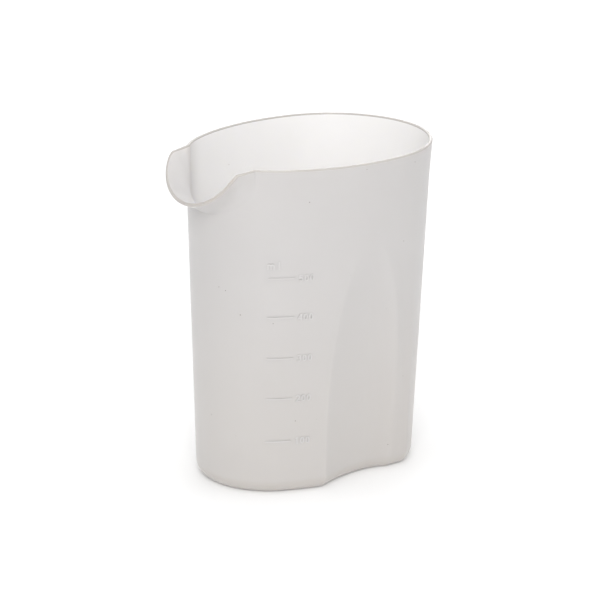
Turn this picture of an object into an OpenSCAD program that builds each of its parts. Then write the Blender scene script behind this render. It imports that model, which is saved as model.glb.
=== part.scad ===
// Open oval urine bottle: one thin-walled moulding with a pouring spout at the
// -X end, a finger grip sunk into each long side and raised graduations on the
// -Y side. It stands on Z = 0, centred on the origin in X and Y.

/* [Body] */
// Height of the level rim above the table
height = 140; // [125:1:155]
// Overall length, from the tip of the spout to the back of the rim
overall_length = 116.6; // [112:0.1:120]
// Length of the oval body at the table, corner rounding left out
base_length = 97.2; // [94:0.2:99]
// Width of the oval body at the table, corner rounding left out
base_width = 72; // [71:0.5:74]
// Width of the oval body at the rim
rim_width = 85.8; // [84:0.2:89]
// Wall and floor thickness
wall = 1.5; // [1.2:0.1:2]
// Outer radius of the rounded edge between wall and floor
edge_radius = 5.5; // [4.5:0.1:6]

/* [Spout] */
// How far the spout's tip stands out beyond the front wall at the rim
spout_reach = 9.2; // [7:0.2:11]
// Half the width between the two corners where the spout leaves the wall
spout_half_width = 24.8; // [21:0.2:26]
// How far the spout's tip dips below the level rim
spout_dip = 16.9; // [10:0.1:17.5]

/* [Finger grips] */
// Depth of each finger grip at the table
grip_depth = 8; // [5:0.1:9]
// Height of the top of each finger grip
grip_height = 105; // [85:1:109]
// Length of each finger grip at the table, in front of its deepest line
grip_front = 24.5; // [20:0.1:26]
// Length of each finger grip at the table, behind its deepest line
grip_back = 15.5; // [13:0.1:17]
// Distance of the deepest line behind the origin, at the table
grip_base_x = 13.7; // [11:0.1:15]
// Distance of the deepest line behind the origin, at the grip's top
grip_top_x = 8.7; // [6:0.1:12]

/* [Graduations] */
// How far the lines and figures stand out from the wall
mark_relief = 0.3; // [0.2:0.05:0.5]
// Height of the lowest line, for 100 ml
first_line_z = 23.5; // [20:0.5:26]
// Left end of each line, along X
line_start = -35.4; // [-37:0.1:-33]
// Right end of each line, along X
line_end = -26.1; // [-28:0.1:-24]
// Height of the figures beside the lines
figure_height = 2.9; // [2.4:0.1:3.6]
// Height of the letter l in the unit mark
unit_height = 3.7; // [3:0.1:4.5]

/* [Hidden] */

// Plan of the body. The oval has a front arc, a back arc and two long side arcs.
back_rim_x = overall_length / 2;
tip_x = -overall_length / 2;
front_rim_x = tip_x + spout_reach;
front_lean = 2.25;
front_base_x = front_rim_x + front_lean;
back_base_x = front_base_x + base_length;
front_base_r = 30.4;
front_rim_r = 37.6;
back_base_r = 35.8;
back_rim_r = 42.2;

// The back of the wall flares out a little below the rim.
back_flare = 0.6;
flare_z = height - 22;

function lerp(a, b, t) = a + (b - a) * t;
function front_x(z) = lerp(front_base_x, front_rim_x, z / height);
function flare(z) = back_flare * pow(max(z - flare_z, 0) / (height - flare_z), 2);
function back_x(z) = lerp(back_base_x, back_rim_x - back_flare, z / height) + flare(z);
function half_w(z) = lerp(base_width, rim_width, z / height) / 2;
function front_r(z) = lerp(front_base_r, front_rim_r, z / height);
function back_r(z) = lerp(back_base_r, back_rim_r, z / height);

// Arc centres and side radius of the oval at height z, as
// [front centre x, back centre x, side centre x, side radius].
function oval(z) =
  let (
    w = half_w(z),
    a = w - front_r(z),
    b = w - back_r(z),
    cf = front_x(z) + front_r(z),
    cb = back_x(z) - back_r(z),
    c = cb - cf,
    e = 1 - b / a,
    p = (c - sqrt(c * c - e * (c * c + b * (a - b)))) / e,
    side_r = (p * p / a + front_r(z) + w) / 2
  )
  [cf, cb, cf + p, side_r];

// Half width of the plain oval at x, height z.
function oval_y(x, z) =
  let (
    o = oval(z),
    w = half_w(z),
    rise = o[3] - w,
    x1 = o[2] - (o[2] - o[0]) * o[3] / (o[3] - front_r(z)),
    x2 = o[2] + (o[1] - o[2]) * o[3] / (o[3] - back_r(z))
  )
  x < x1 ? sqrt(max(pow(front_r(z), 2) - pow(x - o[0], 2), 0)) :
  x > x2 ? sqrt(max(pow(back_r(z), 2) - pow(x - o[1], 2), 0)) :
  sqrt(pow(o[3], 2) - pow(x - o[2], 2)) - rise;

// Larger of a and 0, with a rounded corner of width k.
function soft_step(a, k) =
  let (h = max(k - abs(a), 0) / k)
  max(a, 0) + h * h * k / 4;

// Depth of the finger grip below the plain oval. In plan the grip is a shallow
// trough, and its outline on the wall is a tall arch. Its edge is crisp, except
// at the back of its foot. There the tail of the body is a little narrower than
// the plain oval.
round_front = 0.5;
round_back = 5;
round_top = 0.4;
tail_depth = 2.5;
tail_x = 27.7;
tail_half_length = 7;
function grip_rise(z) = min(z / grip_height, 1.2);
function grip_along(x, z) = x - lerp(grip_base_x, grip_top_x, grip_rise(z));
function grip_cut(x, z) =
  let (along = grip_along(x, z))
  grip_depth *
  (1 - pow(grip_rise(z), 2) - pow(along / (along < 0 ? grip_front : grip_back), 2));
function tail_relief(x, z) =
  let (t = min(abs(x - tail_x) / tail_half_length, 1))
  tail_depth * pow(1 - t * t, 2) * max(1 - grip_rise(z), 0);
function grip_round(x, z) =
  let (across = (grip_along(x, z) + grip_front) / (grip_front + grip_back))
  lerp(
    lerp(round_front, round_back, max(min(across, 1), 0)),
    round_top,
    min(grip_rise(z), 1)
  );
function grip(x, z) =
  let (relief = tail_relief(x, z))
  relief + soft_step(grip_cut(x, z) - relief, grip_round(x, z));

// Columns run round half the plan, from the front centre to the back centre.
cols_spout = 12;
cols_front = 5;
cols_side = 24;
cols_back = 24;
c1 = cols_spout;
c2 = c1 + cols_front;
c3 = c2 + cols_side;
cols = c3 + cols_back;
loop = 2 * cols;

// Point of the -Y half of the outer wall, column i, height z, in plan.
function plan_plain(i, z) =
  let (
    o = oval(z),
    w = half_w(z),
    rf = front_r(z),
    rb = back_r(z),
    kink = asin(spout_half_width / rf),
    join_f = atan2(o[3] - w, o[2] - o[0]),
    join_b = atan2(o[3] - w, o[1] - o[2])
  )
  i <= c1 ?
    let (a = kink * i / cols_spout)
    [o[0] - rf * cos(a), -rf * sin(a)] :
  i <= c2 ?
    let (a = lerp(kink, join_f, (i - c1) / cols_front))
    [o[0] - rf * cos(a), -rf * sin(a)] :
  i <= c3 ?
    let (a = lerp(join_f, 180 - join_b, (i - c2) / cols_side))
    [o[2] - o[3] * cos(a), o[3] - w - o[3] * sin(a)] :
    let (a = lerp(join_b, 0, (i - c3) / cols_back))
    [o[1] + rb * cos(a), -rb * sin(a)];

function wall_point(i, z) =
  let (
    p = plan_plain(i, z),
    cut = i > c1 && i < cols - 4 ? grip(p[0], z) : 0
  )
  [p[0], p[1] + cut, z];

// Rows run up the wall from the rounded edge to the rim.
rows_low = 22;
rows_mid = 2;
rows_top = 5;
r1 = rows_low;
r2 = r1 + rows_mid;
rows = r2 + rows_top;
low_top_z = height - 25.7;

// The spout leaves the wall along an arch that ends on its two corners.
arch_depth = 15.4;
arch_end_z = height - 6.3;
function arch_z(i) =
  i >= c1 ? arch_end_z :
  arch_end_z - arch_depth * sqrt(1 - pow(spout_side(i) / spout_half_width, 2));
function spout_side(i) = -plan_plain(i, arch_end_z)[1];

// Rim of the spout in plan: half an ellipse at the nose, then a straight side
// up to the wall. The nose dips towards its tip.
nose_cols = 9;
nose_length = 11;
nose_x = tip_x + nose_length;
nose_half_width = spout_half_width - 0.8;
dip_round = 0.3;
function nose_point(i) =
  let (a = 90 * i / nose_cols, u = cos(a))
  [
    lerp(nose_x, tip_x, u),
    -nose_half_width * sin(a),
    height - spout_dip * soft_step(u, dip_round)
  ];
function side_point(t) = lerp(nose_point(nose_cols), wall_point(c1, height), t);
function rim_point(i) =
  i <= nose_cols ? nose_point(i) : side_point((i - nose_cols) / (c1 - nose_cols));

// Outer surface of the spout. It leaves the wall along the arch without a
// crease (t = 0) and flares out to the rim (t = 1).
spout_cling = 0.22;
function spout_point(i, t) =
  let (
    p = wall_point(i, arch_z(i)),
    q = rim_point(i),
    guide = wall_point(i, lerp(p[2], q[2], spout_cling))
  )
  lerp(lerp(p, guide, t), lerp(guide, q, t), t);

function row_z(i, j) =
  j <= r1 ? lerp(edge_radius, low_top_z, j / rows_low) :
  j <= r2 ? lerp(low_top_z, arch_z(i), (j - r1) / rows_mid) :
  lerp(arch_end_z, height, (j - r2) / rows_top);

function half_outer(i, j) =
  i < c1 && j > r2 ? spout_point(i, (j - r2) / rows_top) :
  wall_point(i, row_z(i, j));

// The same point for a column k of the whole loop, -Y half first.
function fold(k) = let (m = (k + 2 * loop) % loop) m <= cols ? m : loop - m;
function side(k) = ((k + 2 * loop) % loop) <= cols ? 1 : -1;
function outer(k, j) =
  let (p = half_outer(fold(k), j))
  [p[0], p[1] * side(k), p[2]];

function unit(v) = v / norm(v);
// Outward direction at a grid point. It stays level along the plain wall.
function outward(k, j) =
  let (
    along = unit(outer(k, j) - outer(k - 1, j)) + unit(outer(k + 1, j) - outer(k, j)),
    up = outer(k, min(j + 1, rows)) - outer(k, max(j - 1, 0)),
    n = unit(cross(along, up)),
    tilt = fold(k) >= c1 || j <= r2 ? 0 : min((cols_spout - fold(k)) / 4, 1)
  )
  unit([n[0], n[1], n[2] * tilt]);
function inner(k, j) =
  let (p = outer(k, j) - wall * outward(k, j))
  [p[0], p[1], min(p[2], height)];

// Which cells of the grid belong to the spout and to the two grips.
grip_first = 19;
grip_last = 50;
grip_rows = 21;
function in_spout(k, j) = j >= r2 && (k < c1 || k >= loop - c1);
function in_near_grip(k, j) = j < grip_rows && k >= grip_first && k < grip_last;
function in_far_grip(k, j) =
  j < grip_rows && k >= loop - grip_last && k < loop - grip_first;
function in_part(name, k, j) =
  name == "spout" ? in_spout(k, j) :
  name == "near_grip" ? in_near_grip(k, j) :
  name == "far_grip" ? in_far_grip(k, j) :
  !in_spout(k, j) && !in_near_grip(k, j) && !in_far_grip(k, j);

// Closed shell over the cells of one part, columns k0 to k1 and rows j0 to j1.
module shell(name, k0, k1, j0, j1) {
  nk = k1 - k0;
  ring = nk == loop ? nk : nk + 1;
  count = ring * (j1 - j0 + 1);
  points = [
    for (j = [j0 : j1]) for (k = [0 : ring - 1]) outer(k0 + k, j),
    for (j = [j0 : j1]) for (k = [0 : ring - 1]) inner(k0 + k, j)
  ];
  function has(k, j) =
    j >= j0 && j < j1 && (nk == loop || (k >= k0 && k < k1)) &&
    in_part(name, (k + loop) % loop, j);
  function o(k, j) = (j - j0) * ring + (k - k0) % ring;
  function n(k, j) = count + o(k, j);
  faces = [
    for (j = [j0 : j1 - 1]) for (k = [k0 : k1 - 1]) if (has(k, j)) each [
      [o(k, j), o(k, j + 1), o(k + 1, j + 1)],
      [o(k, j), o(k + 1, j + 1), o(k + 1, j)],
      [n(k, j), n(k + 1, j + 1), n(k, j + 1)],
      [n(k, j), n(k + 1, j), n(k + 1, j + 1)]
    ],
    for (j = [j0 : j1 - 1]) for (k = [k0 : k1 - 1]) if (has(k, j)) each [
      if (!has(k, j - 1)) each quad(o(k, j), o(k + 1, j), n(k + 1, j), n(k, j)),
      if (!has(k, j + 1)) each quad(o(k + 1, j + 1), o(k, j + 1), n(k, j + 1), n(k + 1, j + 1)),
      if (!has(k - 1, j)) each quad(o(k, j + 1), o(k, j), n(k, j), n(k, j + 1)),
      if (!has(k + 1, j)) each quad(o(k + 1, j), o(k + 1, j + 1), n(k + 1, j + 1), n(k + 1, j))
    ]
  ];
  polyhedron(points = points, faces = faces, convexity = 8);
}

function quad(a, b, c, d) = [[a, b, c], [a, c, d]];

plastic = [0.86, 0.87, 0.85];
mark_colour = [0.72, 0.73, 0.72];

module wall() {
  color(plastic) shell("wall", 0, loop, 0, rows);
}

module spout() {
  color(plastic) shell("spout", loop - c1, loop + c1, r2, rows);
}

module near_grip() {
  color(plastic) shell("near_grip", grip_first, grip_last, 0, grip_rows);
}

module far_grip() {
  color(plastic) shell("far_grip", loop - grip_last, loop - grip_first, 0, grip_rows);
}

// Floor with its rounded edge. Arc step 0 is the table, the last one the wall.
edge_steps = 5;
function edge_point(k, s, inset) =
  let (
    a = 90 * s / edge_steps,
    r = edge_radius - inset,
    p = outer(k, 0),
    n = outward(k, 0)
  )
  [
    p[0] - n[0] * (edge_radius - r * sin(a)),
    p[1] - n[1] * (edge_radius - r * sin(a)),
    edge_radius - r * cos(a)
  ];

module base() {
  count = loop * (edge_steps + 1);
  points = [
    for (s = [0 : edge_steps]) for (k = [0 : loop - 1]) edge_point(k, s, 0),
    for (s = [0 : edge_steps]) for (k = [0 : loop - 1]) edge_point(k, s, wall)
  ];
  function o(k, s) = s * loop + (k + loop) % loop;
  function n(k, s) = count + o(k, s);
  faces = [
    for (s = [0 : edge_steps - 1]) for (k = [0 : loop - 1]) each [
      [o(k, s), o(k, s + 1), o(k + 1, s + 1)],
      [o(k, s), o(k + 1, s + 1), o(k + 1, s)],
      [n(k, s), n(k + 1, s + 1), n(k, s + 1)],
      [n(k, s), n(k + 1, s), n(k + 1, s + 1)]
    ],
    for (k = [0 : loop - 1])
      each quad(o(k + 1, edge_steps), o(k, edge_steps), n(k, edge_steps), n(k + 1, edge_steps)),
    for (k = [1 : cols - 2]) each [
      each quad(o(k, 0), o(k + 1, 0), o(-k - 1, 0), o(-k, 0)),
      each quad(n(-k, 0), n(-k - 1, 0), n(k + 1, 0), n(k, 0))
    ],
    [o(0, 0), o(1, 0), o(-1, 0)],
    [o(cols, 0), o(cols + 1, 0), o(cols - 1, 0)],
    [n(-1, 0), n(1, 0), n(0, 0)],
    [n(cols - 1, 0), n(cols + 1, 0), n(cols, 0)]
  ];
  color(plastic) polyhedron(points = points, faces = faces, convexity = 8);
}

// Marks on the -Y side. near_skin gives the outer wall at x, height z, moved
// out by off.
mark_sink = 0.1;
slope_step = 0.5;
function near_normal(x, z) =
  let (slope = (oval_y(x + slope_step, z) - oval_y(x - slope_step, z)) / (2 * slope_step))
  unit([-slope, -1, 0]);
function near_skin(x, z, off) = [x, -oval_y(x, z), z] + near_normal(x, z) * off;

// Graduation lines: curved ribs, one for each 100 ml. The steps get smaller
// upwards, because the body gets wider.
line_rise = [0, 18.8, 36.4, 54.2, 71];
line_thick = 0.65;
line_steps = 8;
function line_z(index) = first_line_z + line_rise[index];

module graduation(index) {
  corners = [
    [-mark_sink, -line_thick / 2],
    [-mark_sink, line_thick / 2],
    [mark_relief, line_thick / 2],
    [mark_relief, -line_thick / 2]
  ];
  points = [
    for (s = [0 : line_steps]) for (c = corners)
      near_skin(lerp(line_start, line_end, s / line_steps), line_z(index) + c[1], c[0])
  ];
  faces = [
    [0, 1, 2, 3],
    for (s = [0 : line_steps - 1]) for (c = [0 : 3])
      each quad(4 * s + c, 4 * s + 4 + c, 4 * s + 4 + (c + 1) % 4, 4 * s + (c + 1) % 4),
    [for (c = [3 : -1 : 0]) 4 * line_steps + c]
  ];
  color(mark_colour) polyhedron(points = points, faces = faces, convexity = 4);
}

// Raised strokes: a path widened to a closed outline, and its points on an arc.
stroke = 0.16;
arc_steps = 10;
function arc(c, rx, ry, a0, a1) = [
  for (s = [0 : arc_steps])
    let (a = lerp(a0, a1, s / arc_steps))
    [c[0] + rx * cos(a), c[1] + ry * sin(a)]
];
function left_of(p, i) =
  let (
    last = len(p) - 1,
    d0 = unit(p[max(i, 1)] - p[max(i, 1) - 1]),
    d1 = unit(p[min(i + 1, last)] - p[min(i, last - 1)]),
    d = unit(d0 + d1)
  )
  [-d[1], d[0]] / max(d * d0, 0.5);
function widen(p) = concat(
  [for (i = [0 : len(p) - 1]) p[i] + left_of(p, i) * stroke / 2],
  [for (i = [len(p) - 1 : -1 : 0]) p[i] - left_of(p, i) * stroke / 2]
);

// Centre lines of the figures, 1 high and figure_width wide.
figure_width = 0.62;
low = stroke / 2;
high = 1 - stroke / 2;
mid_x = figure_width / 2;
far_x = figure_width - stroke / 2;
bowl_x = mid_x - stroke / 2;
bowl_y = 0.24;
function figure_paths(d) =
  d == 0 ? [
    arc([mid_x, 0.5], bowl_x, high - 0.5, 90, 270),
    arc([mid_x, 0.5], bowl_x, high - 0.5, -90, 90)
  ] :
  d == 1 ? [[[mid_x - 0.18, 0.8], [mid_x + 0.02, high], [mid_x + 0.02, 0]]] :
  d == 2 ? [
    concat(arc([mid_x, high - bowl_y], bowl_x, bowl_y, 170, -30), [[low, low], [far_x + low, low]])
  ] :
  d == 3 ? [
    arc([mid_x, high - 0.21], bowl_x - 0.02, 0.21, 150, -80),
    arc([mid_x, low + bowl_y], bowl_x, bowl_y, 80, -150)
  ] :
  d == 4 ? [[[0.46, 0], [0.46, 1]], [[0.42, high], [low, 0.3], [figure_width, 0.3]]] :
  [
    [[far_x, high], [0.15, high], [0.11, 0.44]],
    arc([mid_x, low + bowl_y + 0.02], bowl_x, bowl_y + 0.02, 145, -150)
  ];

// Lays flat drawings on the wall, starting at x and height z.
module on_wall(x, z) {
  n = near_normal(x, z);
  t = [-n[1], n[0], 0];
  p = near_skin(x, z, -mark_sink);
  multmatrix([
    [t[0], 0, n[0], p[0]],
    [t[1], 0, n[1], p[1]],
    [0, 1, 0, p[2]],
    [0, 0, 0, 1]
  ]) linear_extrude(height = mark_sink + mark_relief) children();
}

// Numbers right of the lines, one figure at a time so that they follow the wall.
number_start = -24.6;
number_pitch = 2.13;

module number(hundreds) {
  color(mark_colour)
    for (i = [0 : 2])
      on_wall(number_start + number_pitch * i, line_z(hundreds - 1) - figure_height / 2)
        scale(figure_height)
          for (p = figure_paths(i == 0 ? hundreds : 0)) polygon(widen(p));
}

// Unit mark above the top line.
unit_gap = 3.9;
unit_start = -35.5;
arch_r = 0.17;
arch_y = 0.42;
letter_l_x = 3.7;

module unit_ml() {
  z = line_z(4) + unit_gap;
  m_paths = [
    [[0, 0], [0, arch_y + arch_r]],
    concat(arc([arch_r, arch_y], arch_r, arch_r, 180, 0), [[2 * arch_r, 0]]),
    concat(arc([3 * arch_r, arch_y], arch_r, arch_r, 180, 0), [[4 * arch_r, 0]])
  ];
  color(mark_colour) {
    on_wall(unit_start, z) scale(unit_height) for (p = m_paths) polygon(widen(p));
    on_wall(unit_start + letter_l_x, z) scale(unit_height) polygon(widen([[0, 0], [0, 1]]));
  }
}

module line_100() {
  graduation(0);
}

module line_200() {
  graduation(1);
}

module line_300() {
  graduation(2);
}

module line_400() {
  graduation(3);
}

module line_500() {
  graduation(4);
}

module number_100() {
  number(1);
}

module number_200() {
  number(2);
}

module number_300() {
  number(3);
}

module number_400() {
  number(4);
}

module number_500() {
  number(5);
}

base();
wall();
spout();
near_grip();
far_grip();
line_100();
line_200();
line_300();
line_400();
line_500();
number_100();
number_200();
number_300();
number_400();
number_500();
unit_ml();
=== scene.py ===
import math
import bpy
import numpy as np
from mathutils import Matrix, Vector


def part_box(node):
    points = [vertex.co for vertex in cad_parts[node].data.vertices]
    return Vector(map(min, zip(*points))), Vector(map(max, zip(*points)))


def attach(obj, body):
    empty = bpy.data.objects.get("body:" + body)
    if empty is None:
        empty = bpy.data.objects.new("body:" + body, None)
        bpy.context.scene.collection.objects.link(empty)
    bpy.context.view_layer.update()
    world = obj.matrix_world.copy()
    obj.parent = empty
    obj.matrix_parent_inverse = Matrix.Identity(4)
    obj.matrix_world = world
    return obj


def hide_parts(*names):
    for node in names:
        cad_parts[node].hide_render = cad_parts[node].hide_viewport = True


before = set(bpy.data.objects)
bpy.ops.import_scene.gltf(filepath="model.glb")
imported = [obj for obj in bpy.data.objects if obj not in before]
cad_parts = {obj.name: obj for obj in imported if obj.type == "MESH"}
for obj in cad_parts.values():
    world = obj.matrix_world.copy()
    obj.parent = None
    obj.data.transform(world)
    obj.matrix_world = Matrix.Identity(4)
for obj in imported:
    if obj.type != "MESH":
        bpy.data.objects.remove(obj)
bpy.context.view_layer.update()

MM = 0.001

# ---------------------------------------------------------------- sizes, in mm
# The first four follow the CAD nodes, the others are the sizes the CAD uses.
WALL_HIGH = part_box("wall")[1]
HEIGHT = WALL_HIGH[2] / MM
BACK_RIM_X = WALL_HIGH[0] / MM
EDGE_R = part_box("base")[1][2] / MM
TIP_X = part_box("spout")[0][0] / MM
RIM_WIDTH = 85.8
BASE_WIDTH = 72.0
BASE_LENGTH = 97.2
WALL = 1.5

SPOUT_REACH = 9.2
SPOUT_HALF = 24.8
SPOUT_DIP = 16.9
FRONT_LEAN = 2.25
FRONT_RIM_X = TIP_X + SPOUT_REACH
FRONT_BASE_X = FRONT_RIM_X + FRONT_LEAN
BACK_BASE_X = FRONT_BASE_X + BASE_LENGTH
FRONT_R = (30.4, 37.6)
BACK_R = (35.8, 42.2)
BACK_FLARE = 0.6
FLARE_Z = HEIGHT - 22

GRIP_DEPTH = 8.0
GRIP_HEIGHT = 105.0
GRIP_FRONT = 24.5
GRIP_BACK = 15.5
GRIP_BASE_X = 13.7
GRIP_TOP_X = 8.7
ROUND_FRONT, ROUND_BACK, ROUND_TOP = 0.5, 5.0, 0.4
TAIL_DEPTH = 2.5
TAIL_X = 27.7
TAIL_HALF = 7.0

ARCH_DEPTH = 15.4
ARCH_END_Z = HEIGHT - 6.3
LOW_TOP_Z = HEIGHT - 25.7
NOSE_LENGTH = 11.0
NOSE_HALF = SPOUT_HALF - 0.8
DIP_ROUND = 0.3
SPOUT_CLING = 0.22

# Columns run from the front centre to the back centre of one half: the spout up
# to C1, the front bend up to C2, the side up to C3 and the back bend up to COLS.
NOSE_COLS = 9
C1, C2, C3, COLS = 12, 17, 41, 65
# No grip on the last columns, next to the back centre.
PLAIN_COLS = 4
# The directions on the spout turn free over this many columns and rows.
FREE_COLS = 4
FREE_ROWS = 6

# Points in each stretch of one half, and rows in each stretch of the height.
SPOUT_POINTS, FRONT_POINTS, SIDE_POINTS, BACK_POINTS = 60, 15, 120, 96
LOW_ROWS, ARCH_ROWS, LIP_ROWS = 94, 8, 24
# Steps in the rounded foot and in each of the rim's two arcs.
FOOT_STEPS = 8
RIM_STEPS = 4
# Radius of the rim's arcs, as a part of the wall thickness.
RIM_ROUND = 0.42
# The rounded rim takes the place of this many of the top rows.
RIM_ROWS = 3
# How much nearer to the outline an inset point may come than it was moved.
INSET_SLACK = 0.03


def lerp(a, b, t):
    return a + (b - a) * t


def soft_step(a, k):
    h = np.maximum(k - np.abs(a), 0) / k
    return np.maximum(a, 0) + h * h * k / 4


def oval(z):
    t = z / HEIGHT
    w = lerp(BASE_WIDTH, RIM_WIDTH, t) / 2
    rf = lerp(FRONT_R[0], FRONT_R[1], t)
    rb = lerp(BACK_R[0], BACK_R[1], t)
    cf = lerp(FRONT_BASE_X, FRONT_RIM_X, t) + rf
    flare = BACK_FLARE * (np.maximum(z - FLARE_Z, 0) / (HEIGHT - FLARE_Z)) ** 2
    cb = lerp(BACK_BASE_X, BACK_RIM_X - BACK_FLARE, t) + flare - rb
    a, b, c = w - rf, w - rb, cb - cf
    e = 1 - b / a
    p = (c - np.sqrt(c * c - e * (c * c + b * (a - b)))) / e
    return w, rf, rb, cf, cb, cf + p, (p * p / a + rf + w) / 2


def grip(x, z):
    """How deep the finger grip, or the narrower tail beside it, lies below the plain oval."""
    rise = np.minimum(z / GRIP_HEIGHT, 1.2)
    along = x - lerp(GRIP_BASE_X, GRIP_TOP_X, rise)
    reach = np.where(along < 0, GRIP_FRONT, GRIP_BACK)
    cut = GRIP_DEPTH * (1 - rise ** 2 - (along / reach) ** 2)
    t = np.minimum(np.abs(x - TAIL_X) / TAIL_HALF, 1)
    relief = TAIL_DEPTH * (1 - t * t) ** 2 * np.maximum(1 - rise, 0)
    across = np.clip((along + GRIP_FRONT) / (GRIP_FRONT + GRIP_BACK), 0, 1)
    k = lerp(lerp(ROUND_FRONT, ROUND_BACK, across), ROUND_TOP, np.minimum(rise, 1))
    return relief + soft_step(cut - relief, k)


def wall_point(i, z):
    """Outer wall of the -Y half at column i (not only whole columns) and height z."""
    w, rf, rb, cf, cb, cs, r = oval(z)
    kink = np.arcsin(SPOUT_HALF / rf)
    jf = np.arctan2(r - w, cs - cf)
    jb = np.arctan2(r - w, cb - cs)
    a1 = kink * i / C1
    a2 = lerp(kink, jf, (i - C1) / (C2 - C1))
    a3 = lerp(jf, math.pi - jb, (i - C2) / (C3 - C2))
    a4 = lerp(jb, 0, (i - C3) / (COLS - C3))
    af = np.where(i <= C1, a1, a2)
    x = np.where(i <= C3, cs - r * np.cos(a3), cb + rb * np.cos(a4))
    x = np.where(i <= C2, cf - rf * np.cos(af), x)
    y = np.where(i <= C3, r - w - r * np.sin(a3), -rb * np.sin(a4))
    y = np.where(i <= C2, -rf * np.sin(af), y)
    cut = np.where((i > C1) & (i < COLS - PLAIN_COLS), grip(x, z), 0)
    return np.stack([x, y + cut, z + 0 * x], -1)


def arch_z(i):
    y = -wall_point(np.minimum(i, C1), ARCH_END_Z + 0 * i)[..., 1]
    z = ARCH_END_Z - ARCH_DEPTH * np.sqrt(np.maximum(1 - (y / SPOUT_HALF) ** 2, 0))
    return np.where(i >= C1, ARCH_END_Z, z)


def rim_point(i):
    """Rim at column i: half an ellipse at the nose, then a straight side up to the wall."""
    ang = np.minimum(i / NOSE_COLS, 1) * math.pi / 2
    u = np.maximum(np.cos(ang), 0)
    x = lerp(TIP_X + NOSE_LENGTH, TIP_X, u)
    nose = np.stack([x, -NOSE_HALF * np.sin(ang), HEIGHT - SPOUT_DIP * soft_step(u, DIP_ROUND)], -1)
    end = wall_point(np.full_like(i, C1), HEIGHT + 0 * i)
    t = np.clip((i - NOSE_COLS) / (C1 - NOSE_COLS), 0, 1)[..., None]
    return lerp(nose, end, t)


def spout_point(i, t):
    """Outer skin of the spout: it leaves the wall along the arch without a crease (t = 0) and
    flares out to the rim (t = 1)."""
    p = wall_point(np.minimum(i, C1), arch_z(i))
    q = rim_point(i)
    guide = wall_point(np.minimum(i, C1), lerp(arch_z(i), q[..., 2], SPOUT_CLING))
    t = t[..., None]
    return lerp(lerp(p, guide, t), lerp(guide, q, t), t)


def stations():
    """Fine columns of one half."""
    spout = np.linspace(0, C1, SPOUT_POINTS + 1)
    front = np.linspace(C1, C2, FRONT_POINTS + 1)[1:]
    sides = np.linspace(C2, C3, SIDE_POINTS + 1)[1:]
    back = np.linspace(C3, COLS, BACK_POINTS + 1)[1:]
    return np.concatenate([spout, front, sides, back])


def outer_grid():
    """Outer skin as an array [row, column, xyz] of the whole loop, and its first spout row."""
    i = stations()
    lows = np.linspace(EDGE_R, LOW_TOP_Z, LOW_ROWS + 1)
    rows = [wall_point(i, np.full_like(i, z)) for z in lows]
    for s in np.linspace(0, 1, ARCH_ROWS + 1)[1:]:
        rows.append(wall_point(i, lerp(LOW_TOP_Z, arch_z(i), s)))
    for s in np.linspace(0, 1, LIP_ROWS + 1)[1:]:
        plain = wall_point(i, np.full_like(i, lerp(ARCH_END_Z, HEIGHT, s)))
        lip = spout_point(i, np.full_like(i, s))
        rows.append(np.where((i < C1)[:, None], lip, plain))
    half = np.stack(rows)
    far = half[:, -2:0:-1] * np.array([1, -1, 1])
    return np.concatenate([half, far], 1), len(lows) + ARCH_ROWS


def unit(v):
    return v / np.maximum(np.linalg.norm(v, axis=-1, keepdims=True), 1e-9)


def normals(grid, first_lip):
    """Outward directions, level along the plain wall and free on the spout."""
    along = np.roll(grid, -1, 1) - np.roll(grid, 1, 1)
    up = np.empty_like(grid)
    up[1:-1] = grid[2:] - grid[:-2]
    up[0] = grid[1] - grid[0]
    up[-1] = grid[-1] - grid[-2]
    n = unit(np.cross(along, up))
    i = stations()
    i = np.concatenate([i, i[-2:0:-1]])
    tilt = np.clip((C1 - i) / FREE_COLS, 0, 1)[None, :] * np.ones(len(grid))[:, None]
    fade = np.clip((np.arange(len(grid)) - first_lip + FREE_ROWS) / FREE_ROWS, 0, 1)
    n[..., 2] *= tilt * fade[:, None]
    for _ in range(2):
        n = unit(np.roll(n, 1, 1) + 2 * n + np.roll(n, -1, 1))
    return n


def inset(ring, level, d):
    """The ring moved inwards by d, without the loops that a plain shift makes at corners."""
    p = ring - level * d
    gap = np.linalg.norm(p[:, None, :2] - ring[None, :, :2], axis=-1).min(1)
    good = np.flatnonzero(gap > d - INSET_SLACK)
    every = np.arange(len(p))
    return np.stack([np.interp(every, good, p[good, c], period=len(p)) for c in range(3)], -1)


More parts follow.
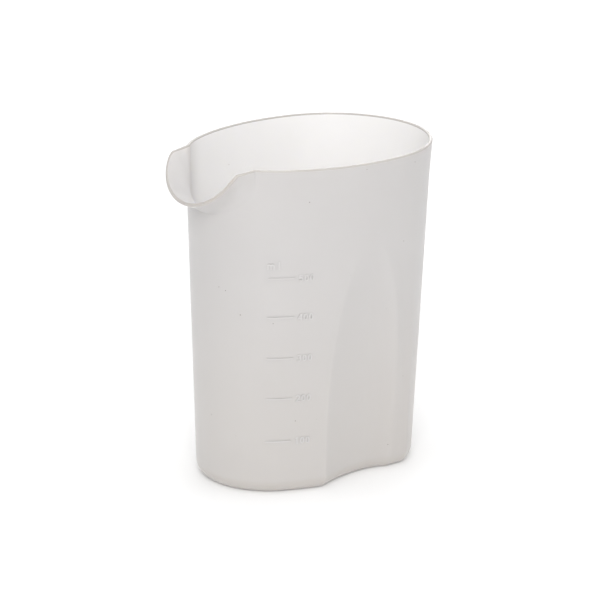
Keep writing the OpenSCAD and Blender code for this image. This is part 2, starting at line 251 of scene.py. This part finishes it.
def shell_mesh(name):
    """The whole moulding as one closed thin shell."""
    grid, first_lip = outer_grid()
    n = normals(grid, first_lip)
    inner = grid - WALL * n
    inner[..., 2] = np.minimum(inner[..., 2], HEIGHT)
    loop = grid.shape[1]
    level = n[0] * np.array([1, 1, 0])
    rings = []
    for s in range(FOOT_STEPS):
        a = math.pi / 2 * s / FOOT_STEPS
        low = np.array([0, 0, EDGE_R * math.cos(a)])
        rings.append(inset(grid[0], level, EDGE_R * (1 - math.sin(a))) - low)
    rings += list(grid[:-RIM_ROWS])
    # Rounded rim: two small arcs with a flat between them.
    up = unit(grid[-1] - grid[-2])
    across = inner[-1] - grid[-1]
    width = np.linalg.norm(across, axis=-1, keepdims=True)
    across = across / width
    r = RIM_ROUND * width
    arc = [math.pi / 2 * s / RIM_STEPS for s in range(RIM_STEPS + 1)]
    for a in arc:
        rings.append(grid[-1] + across * r * (1 - math.cos(a)) - up * r * (1 - math.sin(a)))
    for a in arc[::-1]:
        rings.append(inner[-1] - across * r * (1 - math.cos(a)) - up * r * (1 - math.sin(a)))
    rings += list(inner[-RIM_ROWS - 1::-1])
    r_in = EDGE_R - WALL
    for s in range(FOOT_STEPS - 1, -1, -1):
        a = math.pi / 2 * s / FOOT_STEPS
        low = np.array([0, 0, r_in * math.cos(a)])
        rings.append(inset(grid[0], level, EDGE_R - r_in * math.sin(a)) - low)
    pts = np.concatenate(rings) * MM
    faces = []
    for j in range(len(rings) - 1):
        for k in range(loop):
            k2 = (k + 1) % loop
            faces.append((j * loop + k, j * loop + k2, (j + 1) * loop + k2, (j + 1) * loop + k))
    # Underside and inner floor, as strips across from one side to the other.
    half = loop // 2
    last = (len(rings) - 1) * loop
    for k in range(1, half - 1):
        faces.append((loop - k, loop - k - 1, k + 1, k))
        faces.append((last + k, last + k + 1, last + loop - k - 1, last + loop - k))
    faces.append((loop - 1, 1, 0))
    faces.append((half + 1, half, half - 1))
    faces.append((last, last + 1, last + loop - 1))
    faces.append((last + half - 1, last + half, last + half + 1))
    me = bpy.data.meshes.new(name)
    me.from_pydata(pts.tolist(), [], faces)
    me.update()
    me.polygons.foreach_set("use_smooth", [True] * len(me.polygons))
    # Material 0 outside, 1 inside and on every inner floor strip, 2 on the rim.
    outer_rings = FOOT_STEPS + len(grid) - RIM_ROWS
    rim_rings = 2 * RIM_STEPS + 1
    slots = np.zeros(len(me.polygons), int)
    slots[outer_rings * loop:last] = 1
    slots[last:][1:-4:2] = 1
    slots[-2:] = 1
    slots[outer_rings * loop:(outer_rings + rim_rings) * loop] = 2
    me.polygons.foreach_set("material_index", slots.tolist())
    ob = bpy.data.objects.new(name, me)
    bpy.context.collection.objects.link(ob)
    return ob


# ------------------------------------------------------------------ materials
# Base colours of the one plastic, with painted light and shade: painted shade makes it darker and
# warmer at the foot, the rim and the lower back, and painted light makes it lighter inside, for
# light through the wall.
OUTSIDE = (0.582, 0.560, 0.542)
UPPER = (0.589, 0.574, 0.568)
# Painted shade: the rounded foot, below about 5 mm, is painted darker and warmer.
FOOT_SHADE = (0.560, 0.533, 0.508)
# Painted shade: the lower side towards the back, past X 5 to 45 mm, is painted darker and warmer.
TAIL_SHADE = (0.560, 0.534, 0.514)
# Painted light: the inside is painted much lighter than the outside, for light that enters the cup
# and comes through the wall.
INSIDE_PAINTED_LIGHT = (0.905, 0.893, 0.888)
# Painted shade: the rim is painted darker and warmer than the wall, though it is the same plastic.
RIM_PAINTED_SHADE = (0.50, 0.472, 0.452)
# Painted light, weaker: the inside of the spout is painted lighter than the outside but darker than
# the rest of the inside.
SPOUT_INSIDE_PAINTED_LIGHT = (0.635, 0.62, 0.614)
# Painted shade: a darker band on the inside along the corners where the spout leaves the wall.
CORNER_SHADE = (0.74, 0.72, 0.71)
LINE = (0.60, 0.582, 0.574)
FIGURE = (0.63, 0.615, 0.608)
SPECK = (0.22, 0.19, 0.17)
# Roughness where the surface is smoothest and roughest.
SMOOTH, ROUGH = 0.29, 0.36


def new_material(name):
    m = bpy.data.materials.new(name)
    m.use_nodes = True
    nt = m.node_tree
    return m, nt, nt.nodes["Principled BSDF"]


def place(nt):
    """Position on the bottle, in metres, as a socket."""
    return nt.nodes.new("ShaderNodeTexCoord").outputs["Object"]


def noise(nt, scale, detail=4.0):
    nz = nt.nodes.new("ShaderNodeTexNoise")
    nz.inputs["Scale"].default_value = scale
    nz.inputs["Detail"].default_value = detail
    nt.links.new(place(nt), nz.inputs["Vector"])
    return nz.outputs["Fac"]


def band(nt, axis, lo, hi):
    """0 below lo and 1 above hi along one axis, in millimetres."""
    split = nt.nodes.new("ShaderNodeSeparateXYZ")
    nt.links.new(place(nt), split.inputs["Vector"])
    rng = nt.nodes.new("ShaderNodeMapRange")
    rng.interpolation_type = "SMOOTHSTEP"
    rng.inputs["From Min"].default_value = lo * MM
    rng.inputs["From Max"].default_value = hi * MM
    nt.links.new(split.outputs[axis], rng.inputs["Value"])
    return rng.outputs["Result"]


def ramp(nt, fac, stops):
    node = nt.nodes.new("ShaderNodeValToRGB")
    el = node.color_ramp.elements
    while len(el) < len(stops):
        el.new(0.5)
    for e, (pos, col) in zip(el, stops):
        e.position = pos
        e.color = (*col, 1)
    nt.links.new(fac, node.inputs["Fac"])
    return node.outputs["Color"]


def blend(nt, fac, a, b):
    """Colour a where fac is 0 and colour b where it is 1."""
    node = nt.nodes.new("ShaderNodeMix")
    node.data_type = "RGBA"
    nt.links.new(fac, node.inputs["Factor"])
    for socket, value in ((node.inputs["A"], a), (node.inputs["B"], b)):
        if isinstance(value, tuple):
            socket.default_value = (*value, 1)
        else:
            nt.links.new(value, socket)
    return node.outputs["Result"]


def tint(colour, k):
    return tuple(c * k for c in colour)


def mottled(nt, colour):
    """A colour with slow clouds of a few per cent, as in moulded polypropylene."""
    return ramp(nt, noise(nt, 22, 5), [(0.3, tint(colour, 0.985)), (0.7, tint(colour, 1.015))])


def specks(nt, colour):
    """Tiny dark inclusions, about one in every six square centimetres."""
    vor = nt.nodes.new("ShaderNodeTexVoronoi")
    vor.inputs["Scale"].default_value = 330
    nt.links.new(place(nt), vor.inputs["Vector"])
    dot = ramp(nt, vor.outputs["Distance"], [(0.05, (1, 1, 1)), (0.09, (0, 0, 0))])
    rare = ramp(nt, vor.outputs["Color"], [(0.80, (0, 0, 0)), (0.82, (1, 1, 1))])
    both = nt.nodes.new("ShaderNodeMix")
    both.data_type = "RGBA"
    both.blend_type = "MULTIPLY"
    both.inputs["Factor"].default_value = 1
    nt.links.new(dot, both.inputs["A"])
    nt.links.new(rare, both.inputs["B"])
    return blend(nt, both.outputs["Result"], colour, SPECK)


def plastic(name, paint, scatter=1.0, flat=False):
    """Natural polypropylene. paint(nt) makes its colour. A flat one shades each face by its
    own direction, as on the lines, which are thin boxes with sharp edges."""
    m, nt, bsdf = new_material(name)
    nt.links.new(paint(nt), bsdf.inputs["Base Color"])
    gloss = ramp(nt, noise(nt, 60, 6), [(0.3, (SMOOTH,) * 3), (0.75, (ROUGH,) * 3)])
    nt.links.new(gloss, bsdf.inputs["Roughness"])
    bsdf.inputs["IOR"].default_value = 1.49
    bsdf.inputs["Subsurface Weight"].default_value = scatter
    bsdf.inputs["Subsurface Radius"].default_value = (1.0, 1.0, 0.95)
    bsdf.inputs["Subsurface Scale"].default_value = 0.0015
    if flat:
        geometry = nt.nodes.new("ShaderNodeNewGeometry")
        nt.links.new(geometry.outputs["True Normal"], bsdf.inputs["Normal"])
        return m
    bump = nt.nodes.new("ShaderNodeBump")
    bump.inputs["Strength"].default_value = 0.08
    bump.inputs["Distance"].default_value = 0.0002
    nt.links.new(noise(nt, 900, 3), bump.inputs["Height"])
    nt.links.new(bump.outputs["Normal"], bsdf.inputs["Normal"])
    return m


def outer_paint(nt):
    """Neutral at the top and warmer towards the table, with painted shade: darker and warmer on the
    lower back, darkest at the foot.
    """
    # Painted shade on the lower back, fading out by 110 mm high.
    lower = blend(nt, band(nt, "X", 5, 45), OUTSIDE, TAIL_SHADE)
    body = blend(nt, band(nt, "Z", 10, 110), lower, mottled(nt, UPPER))
    # Painted shade on the foot, below 4.6 to 6.2 mm.
    return specks(nt, blend(nt, band(nt, "Z", 4.6, 6.2), FOOT_SHADE, body))


def inner_painted_light_and_shade(nt):
    """Painted light makes the inside light, less in the spout; painted shade darkens the corners
    where the spout leaves the wall.
    """
    body = blend(nt, band(nt, "X", -54, -26), mottled(nt, SPOUT_INSIDE_PAINTED_LIGHT), mottled(nt, INSIDE_PAINTED_LIGHT))
    # Painted shade: a darker band from X -41.5 to -36.5 mm, only above 114 to 124 mm, along the
    # spout's corners.
    before = blend(nt, band(nt, "X", -41.5, -39.5), body, CORNER_SHADE)
    strip = blend(nt, band(nt, "X", -39, -36.5), before, body)
    return specks(nt, blend(nt, band(nt, "Z", 114, 124), body, strip))


# Painted shade: the rim's colour is a darker copy of the plastic.
def rim_painted_shade(nt):
    return mottled(nt, RIM_PAINTED_SHADE)


def line_paint(nt):
    return mottled(nt, LINE)


def figure_paint(nt):
    return mottled(nt, FIGURE)


# The outside material carries painted shade at the foot and on the lower back.
natural = plastic("natural_plastic", outer_paint)
# The inside material carries painted light, and painted shade along the spout's corners.
inside = plastic("natural_plastic_inside_painted_light", inner_painted_light_and_shade)
# The rim material carries painted shade all over.
rim = plastic("natural_plastic_rim_painted_shade", rim_painted_shade)
marks = {
    "line": plastic("mark_lines", line_paint, scatter=0.0, flat=True),
    "number": plastic("mark_figures", figure_paint, scatter=0.0),
}
marks["unit"] = marks["number"]

shell = shell_mesh("bottle_shell")
shell.data.materials.append(natural)
shell.data.materials.append(inside)
shell.data.materials.append(rim)
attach(shell, "root")
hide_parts("base", "wall", "spout", "near_grip", "far_grip")

for name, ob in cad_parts.items():
    kind = name.split("_")[0]
    if kind in marks:
        ob.data.materials.clear()
        ob.data.materials.append(marks[kind])

# ------------------------------------------------------------- floor and light
floor_mesh = bpy.data.meshes.new("floor")
REACH = 3.0
corners = [(-REACH, -REACH, 0), (REACH, -REACH, 0), (REACH, REACH, 0), (-REACH, REACH, 0)]
floor_mesh.from_pydata(corners, [], [(0, 1, 2, 3)])
floor = bpy.data.objects.new("floor", floor_mesh)
bpy.context.collection.objects.link(floor)
floor_mat, nt, bsdf = new_material("floor")
bsdf.inputs["Base Color"].default_value = (0.93, 0.93, 0.93, 1)
bsdf.inputs["Roughness"].default_value = 0.8
bsdf.inputs["Emission Color"].default_value = (1, 1, 1, 1)
bsdf.inputs["Emission Strength"].default_value = 0.1
floor_mesh.materials.append(floor_mat)

world = bpy.data.worlds.new("studio")
world.use_nodes = True
world.node_tree.nodes["Background"].inputs["Color"].default_value = (1, 1, 1, 1)
world.node_tree.nodes["Background"].inputs["Strength"].default_value = 0.66
bpy.context.scene.world = world
bpy.context.scene.view_settings.view_transform = "Standard"


def area(name, loc, target, size, power):
    """A rectangular lamp of power watts at loc that shines at target."""
    d = bpy.data.lights.new(name, "AREA")
    d.shape = "RECTANGLE"
    d.size, d.size_y = size
    d.energy = power
    o = bpy.data.objects.new(name, d)
    o.location = loc
    o.rotation_euler = (Vector(target) - Vector(loc)).to_track_quat("-Z", "Y").to_euler()
    bpy.context.collection.objects.link(o)


area("top", (0.0, 0.0, 0.9), (0, 0, 0.1), (0.3, 0.3), 1.3)
area("back", (0.62, 0.86, 0.4), (0, 0, 0.11), (0.7, 0.4), 2.2)
area("front", (-0.74, -1.0, 0.9), (0, 0, 0.07), (0.6, 0.6), 9.6)

# --------------------------------------------------------------------- camera
AZ, EL = math.radians(-35.77), math.radians(17.90)
DIST = 1.218
TARGET = Vector((0.00013, 0, 0.07113))
SENSOR = 36
LENS = 173.1343
cam_data = bpy.data.cameras.new("camera")
cam_data.sensor_width = SENSOR
cam_data.lens = LENS
cam_data.clip_start = 0.05
cam = bpy.data.objects.new("camera", cam_data)
back = Vector((math.sin(AZ) * math.cos(EL), -math.cos(AZ) * math.cos(EL), math.sin(EL)))
cam.location = TARGET + back * DIST
cam.rotation_euler = back.to_track_quat("Z", "Y").to_euler()
bpy.context.collection.objects.link(cam)
bpy.context.scene.camera = cam
